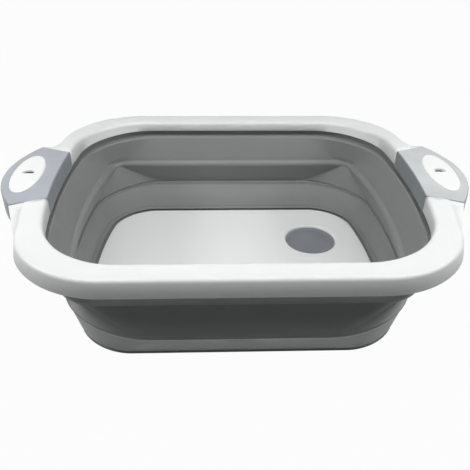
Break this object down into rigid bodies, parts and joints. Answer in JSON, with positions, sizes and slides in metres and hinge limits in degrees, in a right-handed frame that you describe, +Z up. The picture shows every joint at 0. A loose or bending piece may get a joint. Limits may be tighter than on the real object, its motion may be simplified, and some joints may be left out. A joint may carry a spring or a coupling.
{
  "type": "portable washbasin",
  "caption": "Collapsible rectangular basin with a rigid rim, folding rubber wall, raised end grips with hanging slots, and a floor board with a drain plug.",
  "frame": {"origin": "centre of the flat underside, on the surface it stands on", "axes": "+X along the length towards the end nearer the drain plug, +Y across towards the side nearer the drain plug, +Z up"},
  "size_m": [0.38, 0.285, 0.102],
  "materials": {
    "rim_plastic": "satin",
    "grip_rubber": "matt soft touch",
    "insert_plastic": "satin",
    "wall_rubber": "satin moulded",
    "floor_plastic": "satin",
    "plug_rubber": "matt"
  },
  "bodies": {
    "rim": {"rim_frame": "rim_plastic", "handle_grip_left": "grip_rubber", "handle_grip_right": "grip_rubber", "handle_insert_left": "insert_plastic", "handle_insert_right": "insert_plastic", "bellows_upper_panel": "wall_rubber", "bellows_fold_panel": "wall_rubber"},
    "base": {"bellows_lower_panel": "wall_rubber", "floor_board": "floor_plastic"},
    "plug": {"drain_plug": "plug_rubber"}
  },
  "joints": [
    {"name": "collapse", "type": "slide", "parent": "rim", "child": "base", "axis": [0, 0, 1], "range_m": [0, 0.05], "deforming": ["bellows_fold_panel"]},
    {"name": "plug_pull", "type": "slide", "parent": "base", "child": "plug", "axis": [0, 0, 1], "range_m": [0, 0.05]}
  ]
}
